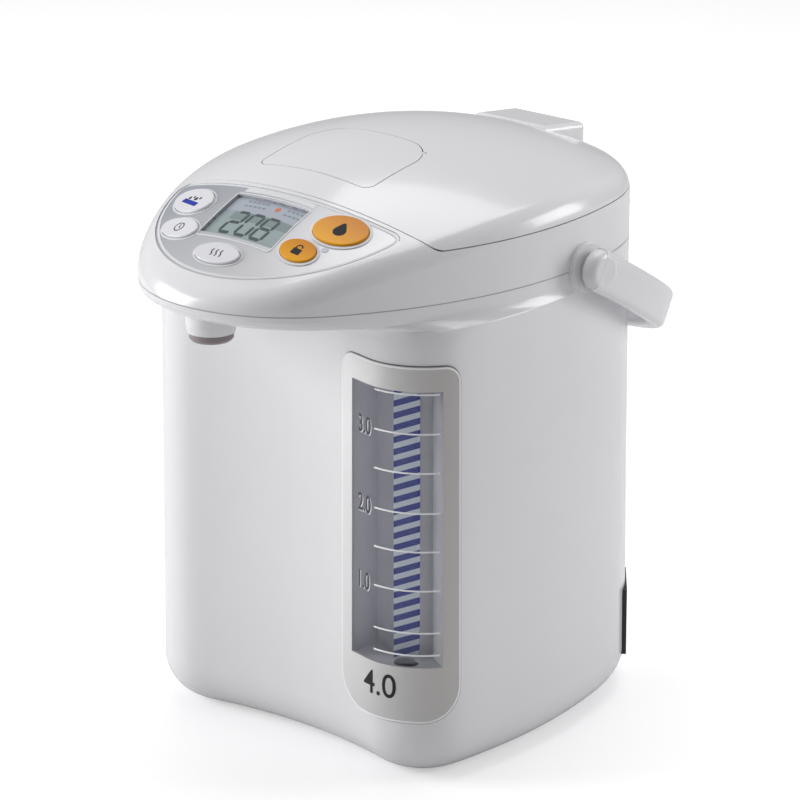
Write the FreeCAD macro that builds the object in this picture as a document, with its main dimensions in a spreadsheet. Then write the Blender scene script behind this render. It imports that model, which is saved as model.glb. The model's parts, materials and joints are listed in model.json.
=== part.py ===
"""Electric thermo pot: a four litre water boiler with a pump, a tilted control panel and a bail handle.

Frame: +Z up, -Y towards the user, +X to the user's right. Origin on the surface the pot stands on,
under the middle of the base. Millimetres.
"""
import FreeCAD
import Part
import Sketcher
import math
import os

V = FreeCAD.Vector
DOC = FreeCAD.newDocument("thermo_pot")

# Driving dimensions, all in millimetres or degrees.
DIMENSIONS = {
    "caseFront": 76.7, "caseTaper": 1.6, "wall": 2.5, "baseRound": 25.0,
    "neckHeight": 228.0, "seamHeight": 254.0, "lipDrop": 8.0, "lipSlope": 4.0,
    "headFront": 152.0, "domeTop": 315.3, "domeRadiusX": 233.6, "domeRadiusY": 272.4, "domeCentreY": 15.4,
    "rimRound": 14.0, "roof": 3.6, "lidSeam": 280.5, "lidFront": 77.0, "lidFrontRadius": 400.0,
    "lidGap": 0.6, "lidRear": 131.0, "bulkhead": 2.4, "deckThickness": 3.0, "mouthRadius": 84.0,
    "panelRadius": 78.5, "panelCentreY": -60.0, "panelRear": 79.0, "panelThickness": 2.2, "panelDrop": 0.4,
    "tankRadius": 87.0, "tankCentreY": 31.0, "tankFloor": 61.0, "tankTop": 247.0, "tankWall": 1.0,
    "jacketGap": 0.5, "jacketThickness": 4.0, "heaterRadius": 56.0,
    "pipeRadius": 4.5, "pipeBore": 3.2, "pipeY": -66.8, "pipeHeight": 254.5,
    "nozzleY": -132.0, "nozzleRadius": 13.0, "nozzleBottom": 232.5, "nozzleTop": 247.0, "nozzleTip": 4.5,
    "gaugeX": 78.0, "gaugeY": -72.0, "gaugeRadius": 6.8, "gaugeLow": 44.0, "gaugeHigh": 224.0,
    "bezelLow": 33.0, "bezelHigh": 224.0, "bezelProud": 0.8, "bezelDepth": 1.2,
    "windowLow": 63.5, "windowHigh": 211.0, "trayDepth": 20.0,
    "pivotY": 36.0, "pivotX": 108.5, "pinRadius": 5.0, "bossRadius": 12.8,
    "strapBreadth": 22.0, "strapThickness": 9.0, "handleReach": 131.0, "handleDroop": 27.6,
    "hingeY": 126.0, "hingeHeight": 287.0, "hingePin": 2.0, "knuckle": 4.2, "tabHalfWidth": 25.0,
    "leverFront": -57.5, "leverRear": -4.0, "leverHalfWidth": 38.5, "leverThickness": 3.0,
    "boltHeight": 282.5, "boltWidth": 24.0, "boltThickness": 4.5,
    "pumpX": 14.0, "pumpY": -36.0, "pumpRadius": 22.0, "pumpLow": 31.0, "pumpHeight": 17.0,
    "motorRadius": 17.0, "motorLow": 5.0, "motorHeight": 24.0, "shaftRadius": 1.5,
    "socketHeight": 37.0, "socketLow": 21.0, "socketWidth": 36.0,
    "footRadius": 9.0, "footDepth": 2.0, "boardThickness": 1.6,
}

SHEET = DOC.addObject("Spreadsheet::Sheet", "Dimensions")
for row, (alias, value) in enumerate(DIMENSIONS.items(), start=1):
    SHEET.set("A%d" % row, alias)
    SHEET.set("B%d" % row, str(value))
    SHEET.setAlias("B%d" % row, alias)
DOC.recompute()


def dim(alias):
    """The sheet's value under this alias."""
    return float(getattr(SHEET, alias))


SUBPARTS = []


def subpart(obj, label):
    """Names an object of the document as one of the pot's pieces."""
    obj.Label = label
    SUBPARTS.append(obj)
    return obj


def worded(expression):
    """The expression with each @alias written as the sheet's cell."""
    return str(expression).replace("@", "Dimensions.")


def value_of(expression):
    """The number that an expression over the sheet's cells gives."""
    probe = DOC.getObject("Probe") or DOC.addObject("App::FeaturePython", "Probe")
    return float(probe.evalExpression(worded(expression)))


def bind(obj, **expressions):
    """Binds properties to expressions; two underscores in a name stand for a dot."""
    for path, expression in expressions.items():
        obj.setExpression(path.replace("__", "."), worded(expression))
    return obj


def place(obj, x="0", y="0", z="0"):
    """Binds an object's position."""
    bind(obj, Placement__Base__x=x, Placement__Base__y=y, Placement__Base__z=z)
    return obj


def cylinder(name, radius, height, x="0", y="0", z="0"):
    obj = DOC.addObject("Part::Cylinder", name)
    bind(obj, Radius=radius, Height=height)
    return place(obj, x, y, z)


def block(name, length, width, height, x, y, z):
    """A box centred on x and y that stands on z."""
    obj = DOC.addObject("Part::Box", name)
    bind(obj, Length=length, Width=width, Height=height)
    return place(obj, "(%s) - (%s) / 2" % (x, length), "(%s) - (%s) / 2" % (y, width), z)


def cut(name, base, tool):
    obj = DOC.addObject("Part::Cut", name)
    obj.Base = base
    obj.Tool = tool
    return obj


def fuse(name, shapes):
    obj = DOC.addObject("Part::MultiFuse", name)
    obj.Shapes = shapes
    return obj


def tube(name, outer, bore, height, x="0", y="0", z="0"):
    """A cylinder with a through bore."""
    shell = cylinder(name + "_outer", outer, height, x, y, z)
    hole = cylinder(name + "_bore", bore, "(%s) + 2" % height, x, y, "(%s) - 1" % z)
    return cut(name, shell, hole)


def formed(label, shape):
    """A piece whose shape is worked out here from the sheet's values."""
    obj = DOC.addObject("Part::Feature", label)
    obj.Shape = shape
    obj.Placement = shape.Placement
    return subpart(obj, label)


def turned(label, profile, x="0", y="0", z="0"):
    """A body turned about its own Z axis from a closed profile of (radius, height) expressions."""
    body = DOC.addObject("PartDesign::Body", label)
    plane = [f for f in body.Origin.OriginFeatures if f.Role == "XZ_Plane"][0]
    sketch = body.newObject("Sketcher::SketchObject", label + "_profile")
    sketch.AttachmentSupport = [(plane, "")]
    sketch.MapMode = "FlatFace"
    numbers = [(value_of(r), value_of(h)) for r, h in profile]
    count = len(profile)
    for k in range(count):
        (r0, h0), (r1, h1) = numbers[k], numbers[(k + 1) % count]
        sketch.addGeometry(Part.LineSegment(V(r0, h0, 0), V(r1, h1, 0)), False)
    for k in range(count):
        sketch.addConstraint(Sketcher.Constraint("Coincident", k, 2, (k + 1) % count, 1))
    for k, (r, h) in enumerate(profile):
        out, up = numbers[k]
        for kind, text, number, axis in (("DistanceX", r, out, -2), ("DistanceY", h, up, -1)):
            if number == 0:
                sketch.addConstraint(Sketcher.Constraint("PointOnObject", k, 1, axis))
                continue
            index = sketch.addConstraint(Sketcher.Constraint(kind, -1, 1, k, 1, number))
            sketch.setExpression("Constraints[%d]" % index, worded(text))
    turn = body.newObject("PartDesign::Revolution", label + "_turn")
    turn.Profile = sketch
    turn.ReferenceAxis = (sketch, ["V_Axis"])
    turn.Angle = 360.0
    body.Tip = turn
    place(body, x, y, z)
    return body


# Outlines. Each half outline runs from the front middle to the rear middle as tangent arcs, given as
# (radius, turn in degrees, stations); a negative turn is a hollow stretch.
SIDE_ARC = (313.5, 3.5, 1)
REAR_ARC = (89.9, 62.8, 7)
CASE_ARCS = [(259.9, -13.6, 7), (35.2, 96.0, 8), (313.5, 19.8, 5), SIDE_ARC, REAR_ARC]
HEAD_ARCS = [(80.0, 55.0, 7), (218.2, 47.2, 13), SIDE_ARC, REAR_ARC]
HANDLE_ARCS = [(143.8, 33.0, 6), (60.0, 39.0, 6), (330.0, 14.0, 5)]
REAR_STATIONS = 3


def half_points(front, arcs, inset):
    """Stations along half an outline that is set in by inset."""
    x, y, heading = 0.0, -(front - inset), 0.0
    points = [(x, y)]
    for radius, turn, stations in arcs:
        side = 1.0 if turn > 0 else -1.0
        bend = radius - side * inset
        start = math.radians(heading)
        for k in range(1, stations + 1):
            angle = math.radians(heading + turn * k / stations)
            points.append((x + side * bend * (math.sin(angle) - math.sin(start)),
                           y + side * bend * (math.cos(start) - math.cos(angle))))
        x, y = points[-1]
        heading += turn
    bend = x / math.sin(math.radians(180.0 - heading))
    for k in range(1, REAR_STATIONS + 1):
        angle = math.radians(heading + (180.0 - heading) * k / REAR_STATIONS)
        points.append((bend * math.sin(angle),
                       y + bend * (math.cos(math.radians(heading)) - math.cos(angle))))
    return points


def outline_wire(points, z):
    """One closed smooth wire through a half outline and its mirror image."""
    full = points + [(-x, y) for x, y in points[-2:0:-1]]
    curve = Part.BSplineCurve()
    curve.interpolate([V(x, y, z) for x, y in full], PeriodicFlag=True)
    return Part.Wire([curve.toShape()])


def case_points(inset=0.0, height=125.0):
    """The body's outline, which tapers from the base to the seam."""
    taper = dim("caseTaper") * (height / dim("seamHeight") - 0.5)
    return half_points(dim("caseFront"), CASE_ARCS, inset + taper)


def head_points(inset=0.0):
    """The head's outline, with the beak over the nozzle in front."""
    return half_points(dim("headFront"), HEAD_ARCS, inset + dim("caseTaper") / 2)


# The flare from the body's outline up to the head's: a rounded lip, a slope and a cove.
LIP_SHARE, COVE_SHARE = 0.12, 0.82


def flare_share(drop):
    """How much of the body's outline is left at this distance under the seam: 0 is the head's outline."""
    lip, slope = dim("lipDrop"), dim("lipSlope")
    cove = dim("seamHeight") - dim("neckHeight") - lip - slope
    if drop < lip:
        return LIP_SHARE * (1 - math.sqrt(1 - (max(drop, 0.0) / lip) ** 2))
    if drop < lip + slope:
        return LIP_SHARE + (COVE_SHARE - LIP_SHARE) * (drop - lip) / slope
    rest = 1 - min(1.0, (drop - lip - slope) / cove)
    return COVE_SHARE + (1 - COVE_SHARE) * math.sqrt(1 - rest ** 2)


def flare_points(drop, inset):
    """The flare's outline this far under its top. Where the body is wider than the head the wall's
    inner side turns in sooner than its outer side, so that the wall keeps its thickness."""
    points = []
    for (a, b), (c, d) in zip(head_points(inset), case_points(inset, dim("seamHeight"))):
        wider = math.hypot(c, d) > math.hypot(a, b)
        share = flare_share(drop - 2 * inset if wider else drop)
        points.append(((1 - share) * a + share * c, (1 - share) * b + share * d))
    return points


def prism(points, low, high):
    return Part.Face(outline_wire(points, low)).extrude(V(0, 0, high - low))


def case_block(inset, floor):
    """The body's solid: rounded base, tapered wall and the flare up to the beak's edge."""
    bend = dim("baseRound") - inset
    sections = []
    for k in range(6):
        angle = math.radians(90.0 * k / 5)
        sections.append((bend * (1 - math.sin(angle)), floor + bend * (1 - math.cos(angle))))
    shoulder = sections[-1][1]
    base = Part.makeLoft([outline_wire(case_points(inset + side, z), z) for side, z in sections],
                         True, False)
    top = dim("seamHeight") + inset
    neck = dim("seamHeight") - dim("neckHeight")
    waist = Part.makeLoft([outline_wire(case_points(inset, shoulder), shoulder),
                           outline_wire(flare_points(neck, inset), top - neck)], True, True)
    under = dim("lipDrop") + dim("lipSlope")
    drops = [dim("lipDrop") * math.sin(math.radians(22.5 * k)) for k in range(5)]
    drops += [under + (neck - under) * (1 - math.cos(math.radians(15.0 * k))) for k in range(7)]
    collar = Part.makeLoft([outline_wire(flare_points(drop, inset), top - drop) for drop in drops],
                           True, True)
    return base.fuse([waist, collar]).removeSplitter()


def dome_block(drop):
    """Everything under the head's dome, sunk by drop: an arc profile turned about a lengthwise axis."""
    radius = dim("domeRadiusY") - drop
    top = dim("domeTop") - drop
    middle = dim("domeCentreY")
    axis_height = dim("domeTop") - dim("domeRadiusX")
    reach, core, swing = 172.0, 8.0, 42.0

    def on_arc(y):
        return V(0, y, top - radius + math.sqrt(radius ** 2 - (y - middle) ** 2))

    front, rear = on_arc(middle - reach), on_arc(middle + reach)
    arc = Part.Arc(front, on_arc(middle), rear).toShape()
    low_front, low_rear = V(0, front.y, axis_height + core), V(0, rear.y, axis_height + core)
    wire = Part.Wire([arc, Part.makeLine(rear, low_rear), Part.makeLine(low_rear, low_front),
                      Part.makeLine(low_front, front)])
    face = Part.Face(wire)
    face.rotate(V(0, 0, axis_height), V(0, 1, 0), -swing)
    return face.revolve(V(0, 0, axis_height), V(0, 1, 0), 2 * swing)


def dome_height(x, y):
    """Height of the dome's surface, and its outward normal."""
    ring = math.sqrt(dim("domeRadiusY") ** 2 - (y - dim("domeCentreY")) ** 2)
    arm = dim("domeRadiusX") - dim("domeRadiusY") + ring
    rise = math.sqrt(arm ** 2 - x ** 2)
    height = dim("domeTop") - dim("domeRadiusX") + rise
    normal = V(x / rise, arm / rise * (y - dim("domeCentreY")) / ring, 1.0)
    return height, normal.normalize()


def head_block(inset, drop, low):
    return prism(head_points(inset), low, 330.0).common(dome_block(drop))


def disc(radius, x, y, low, high):
    return Part.makeCylinder(radius, high - low, V(x, y, low))


def bar(x0, x1, y0, y1, z0, z1):
    return Part.makeBox(x1 - x0, y1 - y0, z1 - z0, V(x0, y0, z0))


def across(radius, y, z, x0, x1):
    """A round bar along X."""
    return Part.makeCylinder(radius, x1 - x0, V(x0, y, z), V(1, 0, 0))


def lid_zone(gap):
    """The space behind the lid's curved front edge and above its side seam."""
    radius = dim("lidFrontRadius")
    zone = disc(radius - gap, 0, radius - dim("lidFront"), dim("lidSeam") + gap, 340.0)
    rim = [edge for edge in zone.Edges if edge.BoundBox.ZMax < dim("lidSeam") + gap + 0.1]
    return zone.makeFillet(6.0, rim)


def plate_outline(x_half, front, rear, front_round, rear_round, low, high):
    """A plate with rounded corners, wider radii at the back."""
    plate = bar(-x_half, x_half, front, rear, low, high)
    middle = (front + rear) / 2
    for radius, ahead in ((front_round, True), (rear_round, False)):
        corners = [e for e in plate.Edges if e.BoundBox.ZLength > 1 and e.BoundBox.YLength < 0.01
                   and (e.BoundBox.YMax < middle) == ahead]
        corners = [e for e in corners if abs(abs(e.BoundBox.XMin) - x_half) < 0.01]
        plate = plate.makeFillet(radius, corners)
    return plate


def leaf(inset, low, high):
    """The control panel's outline: a disc cut off behind by the lid's front curve."""
    radius = dim("panelRadius") - inset
    rear = dim("lidFrontRadius") + dim("panelRear") - dim("lidFront") + inset
    body = disc(radius, 0, dim("panelCentreY"), low, high)
    body = body.cut(disc(rear, 0, dim("lidFrontRadius") - dim("lidFront"), low - 1, high + 1))
    tips = [e for e in body.Edges if e.BoundBox.ZLength > 1 and e.BoundBox.XLength < 0.01]
    return body.makeFillet(5.0, tips)


def slab(solid, upper, lower):
    """The part of a solid that lies between two depths under the dome."""
    layer = dome_block(upper)
    return solid.common(layer).cut(dome_block(lower))


def tilted(shape, x, y, depth=0.0):
    """A shape made about its own origin, set on the dome at x and y and square to it."""
    height, normal = dome_height(x, y)
    turn = FreeCAD.Rotation(V(0, 0, 1), normal)
    shape.Placement = FreeCAD.Placement(V(x, y, height) - normal * depth, turn).multiply(shape.Placement)
    return shape


def oval(a, b, spin, low, high):
    """An oval plug about the origin's Z axis: half-lengths a and b, turned by spin degrees."""
    if abs(a - b) < 0.01:
        return Part.makeCylinder(a, high - low, V(0, 0, low))
    ring = Part.Ellipse(V(0, 0, low), a, b).toShape()
    plug = Part.Face(Part.Wire([ring])).extrude(V(0, 0, high - low))
    plug.rotate(V(0, 0, 0), V(0, 0, 1), spin)
    return plug


def hose(points, outer, bore, bend):
    """A round hose along straight runs joined by tangent arcs of radius bend."""
    edges = []
    here = points[0]
    for before, corner, after in zip(points, points[1:], points[2:]):
        inward, outward = (corner - before).normalize(), (after - corner).normalize()
        half = inward.getAngle(outward) / 2
        start = corner - inward * bend * math.tan(half)
        end = corner + outward * bend * math.tan(half)
        middle = corner + (outward - inward).normalize() * bend * (1 / math.cos(half) - 1)
        edges.append(Part.makeLine(here, start))
        edges.append(Part.Arc(start, middle, end).toShape())
        here = end
    edges.append(Part.makeLine(here, points[-1]))
    path = Part.Wire(edges)
    along = (points[1] - points[0]).normalize()
    solids = []
    for radius in (outer, bore):
        ring = Part.Wire([Part.makeCircle(radius, points[0], along)])
        solids.append(path.makePipeShell([ring], True, False))
    return solids[0].cut(solids[1])


def wall_layer(upper, lower, low, high):
    """A curved sheet under the case's surface, between two depths."""
    outer = Part.makeLoft([outline_wire(case_points(upper, low), low),
                           outline_wire(case_points(upper, high), high)], True, True)
    inner = Part.makeLoft([outline_wire(case_points(lower, low - 1), low - 1),
                           outline_wire(case_points(lower, high + 1), high + 1)], True, True)
    return outer.cut(inner)


# The gauge sits on the front right pillar. The window's right edge is square to the wall where the
# outline's heading is RIGHT_HEADING.
def pillar_edge(heading):
    """Point on the pillar where the outline has this heading, and its outward direction."""
    turn = math.radians(heading)
    low = math.radians(13.6)
    x = 259.9 * math.sin(low) + 35.2 * (math.sin(turn) + math.sin(low))
    y = -dim("caseFront") - 259.9 * (1 - math.cos(low)) + 35.2 * (math.cos(low) - math.cos(turn))
    return V(x, y, 0), V(math.sin(turn), -math.cos(turn), 0)


def pillar_zone(left, heading, low, high):
    """The space over the pillar from x = left to the wall's point of this heading."""
    edge, out = pillar_edge(heading)
    reach = 22.0
    corners = [V(left, -125, low), V(left, -52, low), edge - out * (reach + 8) + V(0, 0, low),
               edge + out * reach + V(0, 0, low), V(edge.x + reach, -125, low)]
    return Part.Face(Part.makePolygon(corners + corners[:1])).extrude(V(0, 0, high - low))


def corner_left(left, height, radius, upward):
    """What rounds off a left corner: a square less a quarter disc, driven along Y."""
    z0 = height if upward else height - radius
    square = bar(left - 1, left + radius, -125, -52,
                 z0 - (1 if upward else 0), z0 + radius + (0 if upward else 1))
    z_centre = height + radius if upward else height - radius
    rod = Part.makeCylinder(radius, 73, V(left + radius, -125, z_centre), V(0, 1, 0))
    return square.cut(rod)


def corner_right(heading, height, radius, upward):
    """The same at a right corner, driven square to the wall there."""
    edge, out = pillar_edge(heading)
    tool = corner_left(0.0, height, radius, upward)
    tool.translate(V(0, 52 + 36, 0))
    tool.rotate(V(0, 0, 0), V(0, 0, 1), heading + 180)
    tool.translate(V(edge.x, edge.y, 0))
    return tool


LEFT_BEZEL, RIGHT_BEZEL = 41.0, 74.0
LEFT_WINDOW, RIGHT_WINDOW = 49.5, 58.0
BUTTONS = {
    "dispense_button": (48.8, -88.7, 14.7, 10.9, 19.0),
    "unlock_button": (39.0, -109.5, 10.3, 7.6, 2.0),
    "temp_set_button": (-1.0, -126.2, 14.6, 6.7, 2.0),
    "timer_button": (-39.8, -113.3, 14.0, 7.2, -10.0),
    "reboil_button": (-50.0, -92.4, 16.3, 9.6, -19.0),
}
LCD = (0.0, -100.8, 50.0, 31.0)
LAMP = (50.3, -102.0)
LEGS = [(side * 50.0, y) for side in (-1, 1) for y in (-18.0, 80.0)]
FEET = [(side * 62.0, y) for side in (-1, 1) for y in (-52.0, 96.0)]
BOSS_FACE = 107.0


def bezel_shape(upper, lower):
    shape = wall_layer(upper, lower, dim("bezelLow"), dim("bezelHigh"))
    shape = shape.common(pillar_zone(LEFT_BEZEL, RIGHT_BEZEL, dim("bezelLow"), dim("bezelHigh")))
    for radius, height, upward in ((20.0, dim("bezelLow"), True), (9.0, dim("bezelHigh"), False)):
        shape = shape.cut(corner_left(LEFT_BEZEL, height, radius, upward))
        shape = shape.cut(corner_right(RIGHT_BEZEL, height, radius, upward))
    return shape


def window_zone(grow):
    return pillar_zone(LEFT_WINDOW - grow, RIGHT_WINDOW + grow,
                       dim("windowLow") - grow, dim("windowHigh") + grow)


def rounded_section(middle, side, up, width, height, bend):
    """A closed rectangle with round corners, width along side and height along up."""
    corners = [(width / 2, height / 2), (-width / 2, height / 2),
               (-width / 2, -height / 2), (width / 2, -height / 2)]
    inner = bend * (1 - math.sqrt(0.5))

    def spot(k, along_side, along_up):
        a, b = corners[k % 4]
        return middle + side * (a - math.copysign(along_side, a)) + up * (b - math.copysign(along_up, b))

    edges = []
    for k in range(4):
        flat = k % 2 == 0
        start = spot(k, 0, bend) if flat else spot(k, bend, 0)
        end = spot(k, bend, 0) if flat else spot(k, 0, bend)
        after = spot(k + 1, bend, 0) if flat else spot(k + 1, 0, bend)
        edges.append(Part.Arc(start, spot(k, inner, inner), end).toShape())
        edges.append(Part.makeLine(end, after))
    return Part.Wire(edges)


def handle_strap():
    """The bail's strap in its own plane: a flat loop with rounded edges, open at the pivots."""
    thickness = dim("strapThickness")
    points = half_points(dim("handleReach"), HANDLE_ARCS, 0.0)[:-REAR_STATIONS]
    half = [V(x, -y, 0) for x, y in points]
    whole = [V(-p.x, p.y, 0) for p in half[:0:-1]] + half
    sections = []
    for k, point in enumerate(whole):
        run = whole[min(k + 1, len(whole) - 1)] - whole[max(k - 1, 0)]
        outward = run.cross(V(0, 0, -1)).normalize()
        if outward.dot(point) < 0:
            outward = outward.negative()
        sections.append(rounded_section(point - outward * thickness / 2, outward, V(0, 0, 1),
                                        thickness, dim("strapBreadth"), 4.0))
    return Part.makeLoft(sections, True, False)


def make_case():
    wall = dim("wall")
    shell = case_block(0.0, 0.0).cut(case_block(wall, wall))
    shell = shell.cut(prism(case_points(32.0, 0.0), -1.0, wall + 1))
    shell = shell.cut(bezel_shape(-3.0, dim("bezelDepth") + 0.02))
    shell = shell.cut(window_zone(1.0))
    shell = shell.cut(disc(dim("nozzleRadius"), 0, dim("nozzleY"), 230.0, 253.0))
    shell = shell.cut(boss_seats())
    for foot_x, foot_y in FEET:
        shell = shell.cut(disc(dim("footRadius"), foot_x, foot_y, -1.0, dim("footDepth")))
    return shell.cut(on_corner(socket_box(-22.0, 8.0, 0.0)))


def boss_seats():
    """The round seats that the case and the shoulder ring share for the handle's bosses."""
    height = dim("seamHeight")
    return [across(dim("bossRadius"), dim("pivotY"), height, x, x + 24) for x in (-122, 98)]


def socket_box(low, high, margin):
    half, bottom = dim("socketWidth") / 2 - margin, dim("socketLow")
    return bar(low, high, -half, half, bottom + margin, bottom + dim("socketHeight") - margin)


def on_corner(shape):
    """Moves a shape made about the origin, facing +X, to the wall at the rear right corner."""
    shape.rotate(V(0, 0, 0), V(0, 0, 1), 40.0)
    shape.translate(V(77.6, 105.4, 0))
    return shape


def make_ring():
    seam, roof = dim("seamHeight"), dim("roof")
    radius, front = dim("lidFrontRadius"), dim("lidFront")
    outer = head_rim_block().common(bar(-130, 130, -180, 180, seam, 340))
    ring = outer.cut(lid_zone(0.0))
    ring = ring.cut(bar(-130, 130, dim("lidRear") + 0.6, 180, dim("lidSeam"), 340))
    bay = head_block(3.0, roof, seam - 1).cut(disc(radius + dim("bulkhead"), 0, radius - front, 200, 340))
    ring = ring.cut(bay)
    deck_low = dim("lidSeam") - dim("deckThickness")
    rear = prism(head_points(3.0), seam - 1, deck_low)
    rear = rear.common(disc(radius, 0, radius - front, seam - 1, deck_low))
    ring = ring.cut(rear)
    middle = dim("tankCentreY")
    ring = ring.cut(disc(dim("mouthRadius"), 0, middle, 270, 300))
    skirt = disc(dim("mouthRadius") + 3.0, 0, middle, dim("tankTop") + 3.0, deck_low)
    ring = ring.fuse(skirt.cut(disc(dim("mouthRadius"), 0, middle, 240, 300)))
    drop = dim("panelDrop") + dim("panelThickness")
    ring = ring.cut(leaf(-0.15, 240, 330).cut(dome_block(drop)))
    under_panel = leaf(2.5, 240, 330).common(bar(-100, 100, -150, -60, 262, 330))
    ring = ring.cut(under_panel.cut(dome_block(roof + 3)))
    for x, y, a, b, spin in BUTTONS.values():
        ring = ring.cut(tilted(oval(a + 0.3, b + 0.3, spin, -6.0, 0.0), x, y))
    return ring.cut(boss_seats())


def head_rim_block():
    """The head's solid with its rounded rim."""
    head = head_block(0.0, 0.0, 240.0)
    rim = [e for e in head.Edges if e.BoundBox.ZMin > 250 and e.Length > 400]
    return head.makeFillet(dim("rimRound"), rim)


def rear_tab(inset):
    """The raised block over the lid's hinge, whose top falls a little to the rear."""
    half = dim("tabHalfWidth") - inset
    rear = dim("lidRear") - inset
    profile = [V(-half, 97 + inset, 281.1), V(-half, 97 + inset, 303.2 - inset),
               V(-half, rear, 299.5 - inset), V(-half, rear, 281.1)]
    tab = Part.Face(Part.makePolygon(profile + profile[:1])).extrude(V(2 * half, 0, 0))
    if inset:
        return tab
    round_edges = [e for e in tab.Edges
                   if e.BoundBox.ZMin > 299 or (e.BoundBox.ZLength > 10 and e.BoundBox.YMin > 120)]
    return tab.makeFillet(3.0, round_edges)


def lever_zone(grow, low, high):
    return plate_outline(dim("leverHalfWidth") + grow, dim("leverFront") - grow, dim("leverRear") + grow,
                         6.0 + grow, 20.0 + grow, low, high)


def make_lid():
    gap, wall = dim("lidGap"), 3.0
    rear = bar(-130, 130, dim("lidRear"), 180, 270, 340)
    zone = lid_zone(gap).cut(rear)
    lid = head_rim_block().common(zone).fuse(rear_tab(0.0))
    radius, front = dim("lidFrontRadius"), dim("lidFront")
    hollow = head_block(wall, wall + 0.4, 270.0)
    hollow = hollow.common(disc(radius - gap - wall, 0, radius - front, 270, 340))
    hollow = hollow.cut(bar(-130, 130, dim("lidRear") - wall, 180, 260, 340))
    well = lever_zone(3.2, 240, 340).common(dome_block(1.0)).cut(dome_block(14.0))
    lid = lid.cut(hollow.cut(well))
    lid = lid.cut(lever_zone(0.6, 240, 340).cut(dome_block(11.5)))
    lid = lid.cut(lever_sweep())
    lid = lid.cut(rear_tab(wall - 0.5))
    lid = lid.cut(bar(-15.5, 15.5, dim("lidRear") - 5, 140, 270, dim("hingeHeight") + 6.0))
    pin_y, pin_z = dim("hingeY"), dim("hingeHeight")
    for side in (-1, 1):
        x0 = dim("tabHalfWidth") - 2.7 if side > 0 else -dim("tabHalfWidth")
        cheek = bar(x0, x0 + 2.7, 112, dim("lidRear"), 281.1, 300)
        lid = lid.fuse(cheek.common(dome_block(0.2).fuse(rear_tab(0.0))))
    lid = lid.cut(bar(-130, 130, 118, 140, 270, 284))
    lid = lid.cut(across(dim("hingePin"), pin_y, pin_z, -24.2, 24.2))
    lever_y, lever_z = lever_axis()
    lid = lid.cut(across(2.05, lever_y, lever_z, -35.6, 35.6))
    half = dim("boltWidth") / 2 + 0.3
    low, high = dim("boltHeight") - 0.3, dim("boltHeight") + dim("boltThickness") + 0.3
    return lid.cut(bar(-half, half, -90, -60, low, high))


def lever_sweep():
    """The places that the lever's rear edge takes on its way up, with some room round it."""
    plate = slab(lever_zone(0.3, 240, 330), 0.0, dim("leverThickness") + 0.3)
    edge = plate.common(bar(-45, 45, dim("leverRear") - 22, dim("leverRear") + 1, 280, 330))
    y, z = lever_axis()
    places = []
    for turn in (5, 10, 15, 20, 25):
        place = edge.copy()
        place.rotate(V(0, y, z), V(-1, 0, 0), turn)
        places.append(place)
    return places


def lever_axis():
    """Where the lever turns: near its rear edge, under its plate."""
    y = dim("leverRear") - 6.0
    return y, dome_height(0, y)[0] - 4.6


def make_handle():
    """The bail, folded down behind the pot, with a blind bore for each pin."""
    strap = handle_strap()
    reach = dim("pivotX") + 0.5
    root = across(dim("strapBreadth") / 2, 0, 0, reach, reach + dim("strapThickness"))
    root = root.makeFillet(3.9, [e for e in root.Edges if e.Length > 60 and e.BoundBox.XLength < 0.01])
    strap = strap.fuse(root.Solids + root.mirror(V(0, 0, 0), V(1, 0, 0)).Solids)
    bore = across(dim("pinRadius") + 0.05, 0, 0, reach - 5.0, reach + 5.6)
    strap = strap.cut(bore).cut(bore.mirror(V(0, 0, 0), V(1, 0, 0)))
    strap.rotate(V(0, 0, 0), V(1, 0, 0), -dim("handleDroop"))
    strap.translate(V(0, dim("pivotY"), dim("seamHeight")))
    return strap


def both_sides(shape):
    """A group of a shape and its mirror image across the middle plane."""
    return Part.makeCompound([shape, shape.mirror(V(0, 0, 0), V(1, 0, 0))])


def make_button(x, y, a, b, spin):
    cap = oval(a, b, spin, -4.5, 0.9)
    cap = cap.makeFillet(0.6, [e for e in cap.Edges if e.BoundBox.ZMin > 0.8])
    flange = oval(a + 0.7, b + 0.7, spin, -6.0, -4.5)
    stem = Part.makeCylinder(2.5, 4.0, V(0, 0, -10.0))
    radius = dim("lidFrontRadius")
    hidden = tilted(flange.fuse(stem), x, y)
    hidden = hidden.cut(disc(radius + dim("bulkhead") + 2.4, 0, radius - dim("lidFront"), 240, 300))
    return tilted(cap, x, y).fuse(hidden)


def make_panel():
    upper = dim("panelDrop")
    panel = slab(leaf(0.0, 240, 330), upper, upper + dim("panelThickness"))
    for x, y, a, b, spin in BUTTONS.values():
        panel = panel.cut(tilted(oval(a + 0.3, b + 0.3, spin, -8.0, 8.0), x, y))
    panel = panel.cut(lcd_box(0.0, -8.0, 8.0))
    return panel.cut(tilted(Part.makeCylinder(1.8, 16, V(0, 0, -8)), *LAMP))


def lcd_box(grow, low, high):
    x, y, width, depth = LCD
    half_x, half_y = width / 2 + grow, depth / 2 + grow
    return tilted(bar(-half_x, half_x, -half_y, half_y, low, high), x, y)


BOARD_TILT, BOARD_Y, BOARD_Z = 20.0, -104.0, 268.0


def on_board(shape):
    shape.rotate(V(0, 0, 0), V(1, 0, 0), BOARD_TILT)
    shape.translate(V(0, BOARD_Y, BOARD_Z))
    return shape


def make_switches():
    above = on_board(bar(-80, 80, -60, 60, dim("boardThickness") / 2, 60))
    posts = []
    for x, y, a, b, spin in BUTTONS.values():
        post = tilted(Part.makeCylinder(3.0, 30.0, V(0, 0, -41.6)), x, y)
        posts.extend(post.common(above).Solids)
    return Part.makeCompound(posts)


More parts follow.
